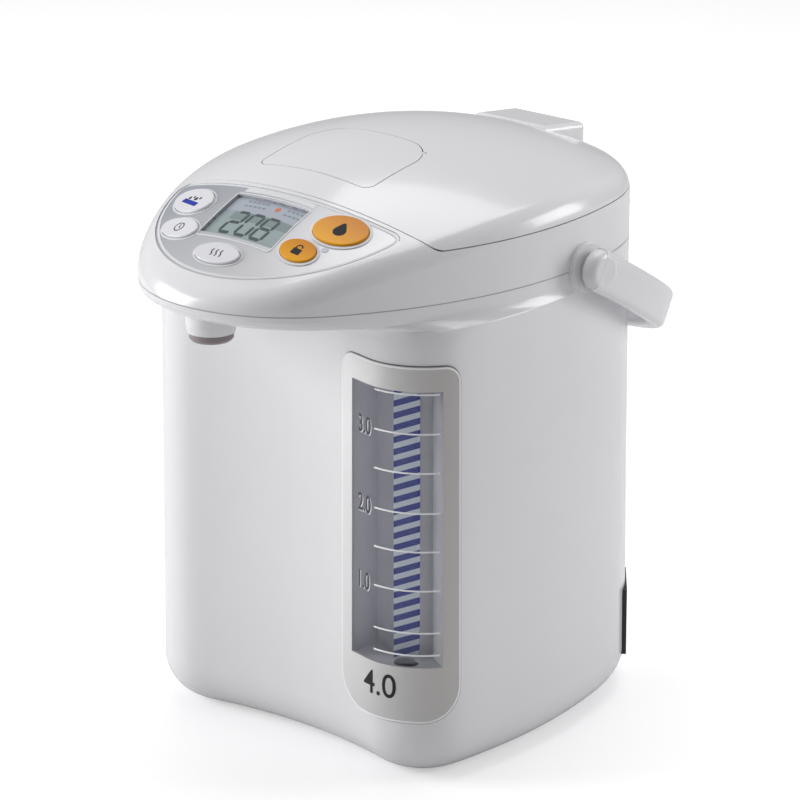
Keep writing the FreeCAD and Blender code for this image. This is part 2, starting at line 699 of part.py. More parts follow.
def make_tray():
    depth = dim("trayDepth")
    low, high = dim("windowLow") - 6, dim("windowHigh") + 6
    tray = wall_layer(dim("wall") + 0.4, depth + 1.5, low, high).common(window_zone(4.0))
    tray = tray.cut(wall_layer(dim("wall") - 1.0, depth, low, high).common(window_zone(2.0)))
    return tray.cut(disc(dim("gaugeRadius"), dim("gaugeX"), dim("gaugeY"), 40, 240))


def make_valve():
    y0, z = -92.0, dim("pipeHeight")
    body = Part.makeCylinder(6.0, 20.0, V(0, y0, z), V(0, -1, 0))
    body = body.cut(Part.makeCylinder(4.3, 17.0, V(0, y0 - 1.5, z), V(0, -1, 0)))
    return body.cut(Part.makeCylinder(dim("pipeBore"), 30.0, V(0, y0 + 5, z), V(0, -1, 0)))


# Shells and other shapes that follow the body's outline or the dome.
formed("outer_case", make_case())
bottom = prism(case_points(32.15, 0.0), 0.0, dim("wall"))
bottom = bottom.fuse(prism(case_points(29.0, 0.0), dim("wall"), dim("wall") + 2.0))
for leg_x, leg_y in LEGS:
    bottom = bottom.cut(disc(3.5, leg_x, leg_y, -1, 2.4))
    bottom = bottom.cut(disc(1.8, leg_x, leg_y, -1, 8))
for foot_x, foot_y in FEET:
    bottom = bottom.cut(disc(dim("footRadius"), foot_x, foot_y, -1.0, dim("footDepth")))
formed("bottom_cover", bottom.removeSplitter())
ring = make_ring()
ring = ring.cut(Part.makeCylinder(6.0, 30, V(0, -70, dim("pipeHeight")), V(0, -1, 0)))
slot_half = dim("boltWidth") / 2 + 0.6
ring = ring.cut(bar(-slot_half, slot_half, -84, -74, dim("boltHeight") - 0.6,
                    dim("boltHeight") + dim("boltThickness") + 0.6))
formed("shoulder_ring", ring)
formed("control_panel", make_panel())
formed("lcd_lens", slab(lcd_box(0.0, -8.0, 8.0), dim("panelDrop") + 0.3, dim("panelDrop") + 1.9))
formed("lcd_module", lcd_box(-1.5, -9.6, -4.4))
board_half = dim("boardThickness") / 2
formed("control_board", on_board(bar(-52, 52, -18, 18, -board_half, board_half)))
formed("button_switches", make_switches())
formed("indicator_lamp", tilted(Part.makeCylinder(1.8, 6.0, V(0, 0, -6.2)), *LAMP))
formed("window_bezel", bezel_shape(-dim("bezelProud"), dim("bezelDepth")).cut(window_zone(0.0)))
formed("gauge_window", wall_layer(0.2, 1.8, dim("windowLow"), dim("windowHigh")).common(window_zone(-0.05)))
formed("gauge_backing", make_tray())
formed("outer_lid", make_lid())
lever_y, lever_z = lever_axis()
lever = slab(lever_zone(0.0, 240, 330), 0.0, dim("leverThickness"))
lever = lever.fuse([across(2.6, lever_y, lever_z, -30, 30), across(2.0, lever_y, lever_z, -35, 35)])
formed("lid_lever", lever)
plate = prism(head_points(4.0), 281.1, 282.2)
plate = plate.common(disc(dim("lidFrontRadius") - 7.6, 0, dim("lidFrontRadius") - dim("lidFront"), 270, 290))
plate = plate.cut(bar(-130, 130, 117.8, 180, 270, 290)).cut(bar(-25.1, 25.1, 96.8, 180, 270, 290))
formed("lid_underplate", plate)
for name, sizes in BUTTONS.items():
    formed(name, make_button(*sizes))
formed("handle", make_handle())
boss = across(dim("bossRadius"), dim("pivotY"), dim("seamHeight"), 99.0, BOSS_FACE)
pin = across(dim("pinRadius"), dim("pivotY"), dim("seamHeight"), 96.0, 114.0)
formed("handle_bosses", both_sides(boss.cut(pin)))
formed("handle_pins", both_sides(pin))
formed("anti_tip_valve", make_valve())
pipe_y, pipe_z = dim("pipeY"), dim("pipeHeight")
pump_x, pump_y = dim("pumpX"), dim("pumpY")
rise = hose([V(0, pipe_y, 54), V(0, pipe_y, pipe_z), V(0, -92, pipe_z)],
            dim("pipeRadius"), dim("pipeBore"), 12.0)
drop = hose([V(0, -112, pipe_z), V(0, dim("nozzleY"), pipe_z), V(0, dim("nozzleY"), 240)],
            dim("pipeRadius"), dim("pipeBore"), 9.0)
formed("spout_pipe", Part.makeCompound([rise, drop]))
formed("outlet_hose", hose([V(pump_x, pump_y - dim("pumpRadius"), 39), V(pump_x, pipe_y, 39),
                            V(0, pipe_y, 39), V(0, pipe_y, 54)],
                           dim("pipeRadius"), dim("pipeBore"), 6.0))
gauge_x, gauge_y = dim("gaugeX"), dim("gaugeY")
formed("gauge_hose", hose([V(gauge_x, gauge_y, dim("gaugeLow")), V(gauge_x, gauge_y, 22),
                           V(58, pump_y, 22), V(58, pump_y, 39),
                           V(pump_x + dim("pumpRadius"), pump_y, 39)],
                          dim("pipeRadius"), dim("pipeBore"), 8.0))
socket = on_corner(socket_box(-20.0, 1.2, 0.0).cut(socket_box(-11.0, 3.0, 5.0)))
formed("inlet_socket", socket)
prongs = [Part.makeCylinder(1.6, 8.0, V(-11.0, y, 39.5), V(1, 0, 0)) for y in (-7.0, 7.0)]
formed("inlet_pins", on_corner(Part.makeCompound(prongs)))
hinge_y, hinge_z = dim("hingeY"), dim("hingeHeight")
knuckle = across(dim("knuckle"), hinge_y, hinge_z, -14, 14)
knuckle = knuckle.fuse(bar(-14, 14, 122, 129.5, dim("lidSeam"), hinge_z))
formed("hinge_bracket", knuckle.cut(across(dim("hingePin") + 0.06, hinge_y, hinge_z, -20, 20)))
formed("hinge_pin", across(dim("hingePin"), hinge_y, hinge_z, -24.2, 24.2))
bolt_half = dim("boltWidth") / 2
formed("latch_bolt", bar(-bolt_half, bolt_half, -77.2, -59.5, dim("boltHeight"),
                         dim("boltHeight") + dim("boltThickness")))
keeper = bar(-17, 17, -81.4, -80.05, dim("boltHeight") - 4, dim("boltHeight") + 8.5)
formed("latch_keeper", keeper.cut(bar(-slot_half, slot_half, -84, -74, dim("boltHeight") - 0.6,
                                      dim("boltHeight") + dim("boltThickness") + 0.6)))

# Plain turned pieces, each a body of its own.
TANK = ("0", "@tankCentreY")
subpart(cut("container_cut",
            turned("container_shell", [
                ("0", "@tankFloor - @tankWall"), ("@tankRadius + @tankWall", "@tankFloor - @tankWall"),
                ("@tankRadius + @tankWall", "@tankTop - @tankWall"),
                ("@tankRadius + 6", "@tankTop - @tankWall"), ("@tankRadius + 6", "@tankTop"),
                ("@tankRadius", "@tankTop"), ("@tankRadius", "@tankFloor"), ("0", "@tankFloor")], *TANK),
            cylinder("container_outlet", "4.6", "12", "@pumpX", "@pumpY", "@tankFloor - 6")),
        "inner_container")
subpart(turned("container_seal", [("83.5", "@tankTop"), ("90", "@tankTop"), ("90", "@tankTop + 3"),
                                  ("83.5", "@tankTop + 3")], *TANK), "container_seal")
JACKET_BORE = "@tankRadius + @tankWall + @jacketGap"
JACKET_RADIUS = JACKET_BORE + " + @jacketThickness"
subpart(turned("insulation_jacket", [(JACKET_BORE, "62"), (JACKET_RADIUS, "62"), (JACKET_RADIUS, "240"),
                                     (JACKET_BORE, "240")], *TANK), "insulation_jacket")
subpart(turned("plate_heater", [("0", "55"), ("@heaterRadius", "55"), ("@heaterRadius", "58"),
                                ("@heaterRadius - 4", "60"), ("0", "60")], *TANK), "plate_heater")
subpart(turned("temperature_sensor", [("0", "46"), ("4", "46"), ("4", "50"), ("7", "50"), ("7", "55"),
                                      ("0", "55")], *TANK), "temperature_sensor")
subpart(cut("clamp_cut", block("clamp_bar", "140", "15", "2", "0", "@tankCentreY", "53"),
            cylinder("clamp_hole", "7.2", "6", "0", "@tankCentreY", "51")), "heater_clamp")
subpart(block("thermal_fuse", "16", "7", "5", "28", "@tankCentreY + 26", "50"), "thermal_fuse")
PUMP = ("@pumpX", "@pumpY")
support = tube("support_ring", "@tankRadius - 1", "@heaterRadius + 6", "5", "0", "@tankCentreY", "55")
support_parts = [cut("support_hole", support, cylinder("support_bore", "6", "9", "@pumpX", "@pumpY", "53"))]
for k, (leg_x, leg_y) in enumerate(LEGS):
    support_parts.append(tube("leg_%d" % k, "5", "1.8", "55.5 - @wall - 2",
                              str(leg_x), str(leg_y), "@wall + 2"))
subpart(fuse("support_all", support_parts), "tank_support")
subpart(tube("inlet_hose", "6", "4.6", "60 - @pumpLow - @pumpHeight", "@pumpX", "@pumpY",
             "@pumpLow + @pumpHeight"), "inlet_hose")
subpart(turned("mesh_filter", [("9", "@tankFloor"), ("9", "@tankFloor + 9"), ("0", "@tankFloor + 9"),
                               ("0", "@tankFloor + 8.2"), ("8.2", "@tankFloor + 8.2"),
                               ("8.2", "@tankFloor")], *PUMP), "mesh_filter")
housing = turned("pump_bowl", [
    ("@shaftRadius + 0.2", "@pumpLow"), ("@pumpRadius", "@pumpLow"), ("@pumpRadius", "@pumpLow + 13"),
    ("@pumpRadius - 2", "@pumpLow + 13"), ("@pumpRadius - 2", "@pumpLow + 2"),
    ("@shaftRadius + 0.2", "@pumpLow + 2")], *PUMP)
subpart(housing, "pump_housing")
subpart(turned("pump_cover", [
    ("4.6", "@pumpLow + 13"), ("@pumpRadius", "@pumpLow + 13"), ("@pumpRadius", "@pumpLow + 15"),
    ("8", "@pumpLow + 15"), ("8", "@pumpLow + @pumpHeight"), ("4.6", "@pumpLow + @pumpHeight")],
    *PUMP), "pump_cover")
subpart(turned("pump_motor", [
    ("2", "@motorLow + @motorHeight"), ("@motorRadius", "@motorLow + @motorHeight"),
    ("@motorRadius", "@motorLow"), ("0", "@motorLow"), ("0", "@motorLow + 1.5"),
    ("@motorRadius - 2", "@motorLow + 1.5"), ("@motorRadius - 2", "@motorLow + @motorHeight - 1.5"),
    ("2", "@motorLow + @motorHeight - 1.5")],
    *PUMP), "pump_motor")
subpart(turned("motor_rotor", [
    ("0", "@motorLow + 2"), ("12", "@motorLow + 2"), ("12", "@motorLow + @motorHeight - 4"),
    ("@shaftRadius", "@motorLow + @motorHeight - 4"), ("@shaftRadius", "@pumpLow + 3"),
    ("0", "@pumpLow + 3")], *PUMP), "motor_rotor")


def make_impeller():
    """A disc with blades: one blade pad, repeated round the hub."""
    body = DOC.addObject("PartDesign::Body", "pump_impeller")
    plane = [f for f in body.Origin.OriginFeatures if f.Role == "XY_Plane"][0]
    disc_sketch = body.newObject("Sketcher::SketchObject", "impeller_disc")
    disc_sketch.AttachmentSupport = [(plane, "")]
    disc_sketch.MapMode = "FlatFace"
    disc_sketch.addGeometry(Part.Circle(V(0, 0, 0), V(0, 0, 1), 16.0), False)
    disc_sketch.addConstraint(Sketcher.Constraint("Coincident", 0, 3, -1, 1))
    size = disc_sketch.addConstraint(Sketcher.Constraint("Radius", 0, 16.0))
    disc_sketch.setExpression("Constraints[%d]" % size, worded("@pumpRadius - 6"))
    base = body.newObject("PartDesign::Pad", "impeller_base")
    base.Profile = disc_sketch
    base.Length = 1.5
    blade_sketch = body.newObject("Sketcher::SketchObject", "impeller_blade")
    blade_sketch.AttachmentSupport = [(plane, "")]
    blade_sketch.MapMode = "FlatFace"
    corners = [(3.0, -0.7), (15.0, -0.7), (15.0, 0.7), (3.0, 0.7)]
    for k, (x, y) in enumerate(corners):
        nx, ny = corners[(k + 1) % 4]
        blade_sketch.addGeometry(Part.LineSegment(V(x, y, 0), V(nx, ny, 0)), False)
    for k in range(4):
        blade_sketch.addConstraint(Sketcher.Constraint("Coincident", k, 2, (k + 1) % 4, 1))
    blade = body.newObject("PartDesign::Pad", "impeller_vane")
    blade.Profile = blade_sketch
    blade.Length = 6.5
    DOC.recompute()
    fan = body.newObject("PartDesign::PolarPattern", "impeller_vanes")
    fan.Originals = [blade]
    fan.Axis = (disc_sketch, ["N_Axis"])
    fan.Angle = 360
    fan.Occurrences = 7
    body.Tip = fan
    place(body, "@pumpX", "@pumpY", "@pumpLow + 3")
    return body


subpart(make_impeller(), "pump_impeller")
NOZZLE = ("0", "@nozzleY")
subpart(turned("spout_nozzle", [
    ("5", "@nozzleBottom + @nozzleTip"), ("@nozzleRadius - 0.8", "@nozzleBottom + @nozzleTip"),
    ("@nozzleRadius", "@nozzleBottom + @nozzleTip + 4"), ("@nozzleRadius", "@nozzleTop"),
    ("5", "@nozzleTop")],
    *NOZZLE), "spout_nozzle")
subpart(turned("nozzle_tip", [
    ("5", "@nozzleBottom"), ("@nozzleRadius - 3", "@nozzleBottom"),
    ("@nozzleRadius - 1.6", "@nozzleBottom + 1.5"), ("@nozzleRadius - 1.6", "@nozzleBottom + @nozzleTip"),
    ("5", "@nozzleBottom + @nozzleTip")],
    *NOZZLE), "nozzle_tip")
subpart(tube("gauge_tube", "@gaugeRadius", "@gaugeRadius - 1.4", "@gaugeHigh - @gaugeLow",
             "@gaugeX", "@gaugeY", "@gaugeLow"), "gauge_tube")
subpart(turned("gauge_cap", [("0", "@gaugeHigh"), ("@gaugeRadius + 0.8", "@gaugeHigh"),
                             ("@gaugeRadius + 0.8", "@gaugeHigh + 5"), ("0", "@gaugeHigh + 5")],
               "@gaugeX", "@gaugeY"), "gauge_cap")
subpart(turned("inner_lid", [("0", "262"), ("80", "262"), ("80", "281.1"), ("79.2", "281.1"),
                             ("79.2", "262.8"), ("0", "262.8")], *TANK), "inner_lid")
subpart(turned("lid_insulation", [("0", "262.8"), ("79.2", "262.8"), ("79.2", "281.1"), ("0", "281.1")],
               *TANK), "lid_insulation")
subpart(turned("lid_gasket", [("80", "270"), ("82.6", "270"), ("83.3", "271"), ("83.3", "273"),
                              ("82.6", "274"), ("80", "274")], *TANK), "lid_gasket")
valve_ball = DOC.addObject("Part::Sphere", "valve_ball")
bind(valve_ball, Radius="3.9")
place(valve_ball, "0", "-98", "@pipeHeight")
subpart(valve_ball, "valve_ball")
subpart(block("steam_valve", "26", "26", "5.5", "0", "66", "282.2"), "steam_valve")
board_parts = [block("board_plate", "84", "50", "@boardThickness", "0", "88", "12"),
               block("board_relay", "20", "16", "15", "24", "98", "12 + @boardThickness"),
               cylinder("board_capacitor", "6", "18", "24", "76", "12 + @boardThickness"),
               block("board_standoff", "60", "6", "12 - @wall - 2", "0", "88", "@wall + 2"),
               block("board_transformer", "34", "32", "27", "-18", "88", "12 + @boardThickness")]
subpart(fuse("board_all", board_parts), "power_board")
feet = [cylinder("foot_%d" % k, "@footRadius", "@footDepth", str(x), str(y), "0")
        for k, (x, y) in enumerate(FEET)]
subpart(DOC.addObject("Part::Compound", "feet_all"), "base_feet").Links = feet
screws = []
for k, (leg_x, leg_y) in enumerate(LEGS):
    shank = cylinder("shank_%d" % k, "1.8", "14", str(leg_x), str(leg_y), "0.6")
    head = cylinder("screw_head_%d" % k, "3.5", "1.8", str(leg_x), str(leg_y), "0.6")
    screws.append(fuse("screw_%d" % k, [shank, head]))
subpart(DOC.addObject("Part::Compound", "screws_all"), "base_screws").Links = screws

DOC.recompute()
for obj in DOC.Objects:
    bad = [state for state in obj.State if state in ("Invalid", "Error")]
    if bad:
        raise RuntimeError("%s is %s" % (obj.Label, bad))
os.makedirs("parts", exist_ok=True)
for obj in SUBPARTS:
    shape = obj.Shape
    if shape.isNull() or not shape.isValid() or not shape.Solids:
        raise RuntimeError("%s has no valid solid" % obj.Label)
    shape.exportStep("parts/%s.step" % obj.Label)
    print("%-20s solids %d volume %.0f" % (obj.Label, len(shape.Solids), shape.Volume))
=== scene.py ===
"""Looks for the electric thermo pot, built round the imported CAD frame.

Lengths are millimetres until a mesh is made, where MM turns them into metres."""
import json
import math

import bmesh
import bpy
from mathutils import Matrix, Vector


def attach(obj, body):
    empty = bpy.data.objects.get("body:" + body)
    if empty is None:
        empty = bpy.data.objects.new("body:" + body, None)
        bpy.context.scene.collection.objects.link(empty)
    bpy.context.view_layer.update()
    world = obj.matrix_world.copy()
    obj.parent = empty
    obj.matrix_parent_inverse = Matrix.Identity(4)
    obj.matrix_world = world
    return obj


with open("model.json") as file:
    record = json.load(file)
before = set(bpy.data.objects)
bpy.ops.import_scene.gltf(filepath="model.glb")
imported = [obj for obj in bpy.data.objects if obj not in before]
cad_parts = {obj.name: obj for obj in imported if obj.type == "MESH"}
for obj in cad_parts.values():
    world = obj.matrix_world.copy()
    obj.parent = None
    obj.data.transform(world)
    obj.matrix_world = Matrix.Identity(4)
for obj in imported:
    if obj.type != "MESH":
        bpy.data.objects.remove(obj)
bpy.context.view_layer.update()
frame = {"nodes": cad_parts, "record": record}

MM = 0.001

# The CAD model's own shapes, repeated here so that prints and trims lie on them.
DOME_TOP, DOME_RX, DOME_RY, DOME_Y = 315.3, 233.6, 272.4, 15.4
CASE_FRONT, CASE_TAPER, SEAM = 76.7, 1.6, 254.0
HOLLOW_RADIUS, PILLAR_RADIUS = 259.9, 35.2
HOLLOW_TURN = math.radians(13.6)
HEAD_FRONT = 152.0
HEAD_ARCS = ((80.0, 55.0), (218.2, 47.2), (313.5, 3.5), (89.9, 62.8))
PANEL_RADIUS, PANEL_Y, PANEL_REAR, PANEL_DROP = 78.5, -60.0, 79.0, 0.4
LID_RADIUS, LID_FRONT = 400.0, 77.0
BUTTONS = {
    "dispense_button": (48.8, -88.7, 14.7, 10.9, 19.0),
    "unlock_button": (39.0, -109.5, 10.3, 7.6, 2.0),
    "temp_set_button": (-1.0, -126.2, 14.6, 6.7, 2.0),
    "timer_button": (-39.8, -113.3, 14.0, 7.2, -10.0),
    "reboil_button": (-50.0, -92.4, 16.3, 9.6, -19.0),
}
AMBER_BUTTONS = ("dispense_button", "unlock_button")
BUTTON_TOP, RIM_GAP = 0.9, 0.3
LCD_X, LCD_Y, LCD_WIDTH, LCD_DEPTH = 0.0, -100.8, 50.0, 31.0
BEZEL_LEFT, BEZEL_RIGHT, BEZEL_LOW, BEZEL_HIGH = -20.5, 53.8, 33.0, 224.0
BEZEL_PROUD, WINDOW_SINK = 0.8, 0.2
GAUGE_X, GAUGE_Y, GAUGE_RADIUS = 78.0, -72.0, 6.8


# ---- surfaces

def dome(x, y, lift=0.0):
    """Point over the head's dome."""
    ring = math.sqrt(DOME_RY ** 2 - (y - DOME_Y) ** 2)
    arm = DOME_RX - DOME_RY + ring
    rise = math.sqrt(arm ** 2 - x ** 2)
    normal = Vector((x / rise, arm / rise * (y - DOME_Y) / ring, 1.0)).normalized()
    return Vector((x, y, DOME_TOP - DOME_RX + rise)) + normal * lift


def dome_normal(x, y):
    return dome(x, y, 1.0) - dome(x, y)


def wall(run, z, lift=0.0):
    """Point over the front right wall, run mm along it from where the hollow meets the pillar."""
    inset = CASE_TAPER * (z / SEAM - 0.5) - lift
    hollow_y = -CASE_FRONT - HOLLOW_RADIUS
    if run < 0:
        angle = HOLLOW_TURN + run / HOLLOW_RADIUS
        reach = HOLLOW_RADIUS + inset
        return Vector((reach * math.sin(angle), hollow_y + reach * math.cos(angle), z))
    angle = run / PILLAR_RADIUS - HOLLOW_TURN
    middle_x = (HOLLOW_RADIUS + PILLAR_RADIUS) * math.sin(HOLLOW_TURN)
    middle_y = hollow_y + (HOLLOW_RADIUS + PILLAR_RADIUS) * math.cos(HOLLOW_TURN)
    reach = PILLAR_RADIUS - inset
    return Vector((middle_x + reach * math.sin(angle), middle_y - reach * math.cos(angle), z))


def head_outline(lift=0.0, step=1.5):
    """Points round the head's outline, from the front middle round to it again."""
    x, y, heading = 0.0, -HEAD_FRONT + CASE_TAPER / 2 - lift, 0.0
    right = [(x, y)]
    arcs = list(HEAD_ARCS)
    for k in range(len(arcs) + 1):
        if k < len(arcs):
            radius, turn = arcs[k][0] - CASE_TAPER / 2 + lift, math.radians(arcs[k][1])
        else:
            turn = math.pi - heading
            radius = x / math.sin(turn)
        count = max(3, int(radius * turn / step))
        start_x, start_y, start = x, y, heading
        for i in range(1, count + 1):
            angle = start + turn * i / count
            x = start_x + radius * (math.sin(angle) - math.sin(start))
            y = start_y + radius * (math.cos(start) - math.cos(angle))
            right.append((x, y))
        heading = start + turn
    left = [(-a, b) for a, b in right[-2:0:-1]]
    return right + left


# ---- materials

def links_of(material):
    return material.node_tree.nodes, material.node_tree.links


def plastic(name, colour, rough, coat=0.0, grain=0.02, grain_scale=900.0, shade=0.03,
            metallic=0.0, specular=0.5):
    """Moulded or painted surface: slow colour and gloss drift, and a fine skin texture."""
    material = bpy.data.materials.new(name)
    material.use_nodes = True
    nodes, links = links_of(material)
    shader = nodes["Principled BSDF"]
    place = nodes.new("ShaderNodeTexCoord")
    cloud = nodes.new("ShaderNodeTexNoise")
    cloud.inputs["Scale"].default_value = 18.0
    cloud.inputs["Detail"].default_value = 3.0
    links.new(place.outputs["Object"], cloud.inputs["Vector"])
    tint = nodes.new("ShaderNodeMix")
    tint.data_type = "RGBA"
    tint.inputs[6].default_value = [c * (1 - shade) for c in colour] + [1]
    tint.inputs[7].default_value = [min(1.0, c * (1 + shade)) for c in colour] + [1]
    links.new(cloud.outputs["Fac"], tint.inputs[0])
    links.new(tint.outputs[2], shader.inputs["Base Color"])
    gloss = nodes.new("ShaderNodeMapRange")
    gloss.inputs["To Min"].default_value = rough * 0.85
    gloss.inputs["To Max"].default_value = min(1.0, rough * 1.15)
    links.new(cloud.outputs["Fac"], gloss.inputs["Value"])
    links.new(gloss.outputs["Result"], shader.inputs["Roughness"])
    skin = nodes.new("ShaderNodeTexNoise")
    skin.inputs["Scale"].default_value = grain_scale
    skin.inputs["Detail"].default_value = 2.0
    links.new(place.outputs["Object"], skin.inputs["Vector"])
    bump = nodes.new("ShaderNodeBump")
    bump.inputs["Strength"].default_value = grain
    bump.inputs["Distance"].default_value = 0.0002
    links.new(skin.outputs["Fac"], bump.inputs["Height"])
    links.new(bump.outputs["Normal"], shader.inputs["Normal"])
    shader.inputs["Metallic"].default_value = metallic
    shader.inputs["Specular IOR Level"].default_value = specular
    shader.inputs["Coat Weight"].default_value = coat
    shader.inputs["Coat Roughness"].default_value = 0.08
    return material


def brushed(name, colour, rough, stretch=(40.0, 40.0, 1500.0), metallic=1.0, strength=0.08):
    """Metal or metallic lacquer with fine lines one way."""
    material = plastic(name, colour, rough, metallic=metallic, grain=0.0)
    nodes, links = links_of(material)
    place = nodes.new("ShaderNodeTexCoord")
    scale = nodes.new("ShaderNodeMapping")
    scale.inputs["Scale"].default_value = stretch
    lines = nodes.new("ShaderNodeTexNoise")
    lines.inputs["Scale"].default_value = 1.0
    lines.inputs["Detail"].default_value = 4.0
    links.new(place.outputs["Object"], scale.inputs["Vector"])
    links.new(scale.outputs["Vector"], lines.inputs["Vector"])
    bump = nodes.new("ShaderNodeBump")
    bump.inputs["Strength"].default_value = strength
    bump.inputs["Distance"].default_value = 0.0002
    links.new(lines.outputs["Fac"], bump.inputs["Height"])
    links.new(bump.outputs["Normal"], nodes["Principled BSDF"].inputs["Normal"])
    return material


def clear(name, colour, share, rough=0.05):
    """Thin clear plastic: mostly see-through, with the gloss of its surface."""
    material = bpy.data.materials.new(name)
    material.use_nodes = True
    nodes, links = links_of(material)
    shader = nodes["Principled BSDF"]
    shader.inputs["Base Color"].default_value = list(colour) + [1]
    shader.inputs["Roughness"].default_value = rough
    shader.inputs["Alpha"].default_value = share
    shader.inputs["Coat Weight"].default_value = 0.3
    place = nodes.new("ShaderNodeTexCoord")
    cloud = nodes.new("ShaderNodeTexNoise")
    cloud.inputs["Scale"].default_value = 60.0
    links.new(place.outputs["Object"], cloud.inputs["Vector"])
    bump = nodes.new("ShaderNodeBump")
    bump.inputs["Strength"].default_value = 0.01
    bump.inputs["Distance"].default_value = 0.0002
    links.new(cloud.outputs["Fac"], bump.inputs["Height"])
    links.new(bump.outputs["Normal"], shader.inputs["Normal"])
    return material


def painted_light_ramp(material, way, low, high, first, last):
    """Paints light and shade into a material's colour: runs it from first at low to last at high along
    way, in metres.
    """
    nodes, links = links_of(material)
    place = nodes.new("ShaderNodeTexCoord")
    along = nodes.new("ShaderNodeVectorMath")
    along.operation = "DOT_PRODUCT"
    along.inputs[1].default_value = way
    span = nodes.new("ShaderNodeMapRange")
    span.inputs["From Min"].default_value = low
    span.inputs["From Max"].default_value = high
    tint = nodes.new("ShaderNodeMix")
    tint.data_type = "RGBA"
    tint.inputs[6].default_value = list(first) + [1]
    tint.inputs[7].default_value = list(last) + [1]
    links.new(place.outputs["Object"], along.inputs[0])
    links.new(along.outputs["Value"], span.inputs["Value"])
    links.new(span.outputs["Result"], tint.inputs[0])
    links.new(tint.outputs[2], nodes["Principled BSDF"].inputs["Base Color"])
    return material


WHITE, AMBER = (0.80, 0.80, 0.82), (0.80, 0.33, 0.02)
# The amber caps are painted lighter at the front and darker at the rear: painted light and painted
# shade.
AMBER_LIT_FRONT, AMBER_SHADED_REAR = (0.87, 0.40, 0.006), (0.60, 0.20, 0.006)
FINISHES = {
    "case_gloss": plastic("white_gloss", WHITE, 0.22, coat=0.25, grain=0.012, shade=0.012),
    "handle_gloss": plastic("white_handle", (0.78, 0.78, 0.80), 0.26, coat=0.2, grain=0.015,
                            shade=0.012),
    "base_plastic": plastic("light_moulding", (0.60, 0.61, 0.63), 0.55, grain=0.08,
                            grain_scale=1500.0),
    "panel_silver": brushed("silver_panel", (0.50, 0.51, 0.54), 0.42, (60.0, 60.0, 60.0), 0.30,
                            0.02),
    "bezel_silver": brushed("silver_bezel", (0.56, 0.55, 0.54), 0.36, (900.0, 900.0, 30.0), 0.50,
                            0.03),
    "button_orange": plastic("amber_cap", AMBER, 0.28, coat=0.4, shade=0.05),
    "button_white": plastic("white_cap", (0.74, 0.74, 0.78), 0.34, coat=0.2, shade=0.02),
    "lcd_glass": clear("display_glass", (0.70, 0.76, 0.80), 0.06),
    "window_glass": clear("window_glass", (0.34, 0.34, 0.40), 0.05),
    "tube_glass": clear("tube_glass", (0.60, 0.64, 0.72), 0.025),
    "lcd_grey": plastic("display_ground", (0.26, 0.31, 0.32), 0.45, grain=0.03),
    "backing_grey": plastic("tray_grey", (0.52, 0.52, 0.60), 0.5, grain=0.05),
    "board_green": plastic("circuit_board", (0.03, 0.16, 0.07), 0.4, grain=0.2,
                           grain_scale=400.0, shade=0.2),
    "black_plastic": plastic("black_moulding", (0.018, 0.018, 0.02), 0.42, grain=0.12,
                             grain_scale=1200.0, shade=0.1),
    "lamp_grey": plastic("lamp", (0.40, 0.42, 0.50), 0.2, coat=0.5),
    "steel": brushed("steel", (0.58, 0.58, 0.60), 0.30, strength=0.12),
    "polished_steel": brushed("polished_steel", (0.70, 0.70, 0.72), 0.12, strength=0.02),
    "silicone": plastic("silicone", (0.62, 0.60, 0.56), 0.6, grain=0.05),
    "dark_rubber": plastic("rubber", (0.03, 0.03, 0.033), 0.8, grain=0.3, grain_scale=700.0,
                           shade=0.15),
    "tip_brown": plastic("nozzle_tip", (0.27, 0.23, 0.24), 0.4, grain=0.05),
    "felt": plastic("felt", (0.50, 0.48, 0.44), 0.95, grain=0.8, grain_scale=350.0, shade=0.12),
    "foam": plastic("foam", (0.70, 0.68, 0.60), 0.95, grain=0.8, grain_scale=250.0, shade=0.1),
    "brass": brushed("brass", (0.60, 0.42, 0.16), 0.3),
}
INK = plastic("ink", (0.025, 0.025, 0.03), 0.6, grain=0.02, specular=0.2)
PALE_INK = plastic("pale_ink", (0.72, 0.73, 0.75), 0.4, grain=0.02)
LINE_INK = plastic("line_ink", (0.92, 0.92, 0.94), 0.6, grain=0.02, specular=0.2)
BLUE_INK = plastic("blue_ink", (0.025, 0.045, 0.33), 0.6, grain=0.02, specular=0.2)
GREY_INK = plastic("grey_ink", (0.075, 0.075, 0.09), 0.6, grain=0.02, specular=0.1)
SEAM_SHADE = plastic("seam_shade", (0.38, 0.38, 0.40), 0.8, grain=0.02)
# Painted shade: a dark band for the shade in the crevice round the window bezel.
BEZEL_CREVICE_SHADE = plastic("bezel_crevice_shade", (0.16, 0.16, 0.17), 0.7, grain=0.02)

TO_RIGHT, TO_REAR, TO_RIGHT_FRONT = (1.0, 0.0, 0.0), (0.0, 1.0, 0.0), (0.5, -0.5, 0.0)
# Painted light: the silver panel is painted darker towards the rear left and lighter towards the front
# right.
painted_light_ramp(FINISHES["panel_silver"], TO_RIGHT_FRONT, 0.012, 0.076, (0.40, 0.42, 0.47), (0.66, 0.66, 0.68))
# Painted shade: the bezel is painted lighter on its left, in the hollow, and darker to its right,
# round the pillar.
painted_light_ramp(FINISHES["bezel_silver"], TO_RIGHT, 0.042, 0.100, (0.80, 0.79, 0.79), (0.50, 0.49, 0.48))
# Painted shade inside the window: the tray is painted lighter on its left and darker on its right.
painted_light_ramp(FINISHES["backing_grey"], TO_RIGHT, 0.05, 0.10, (0.72, 0.72, 0.78), (0.38, 0.39, 0.41))

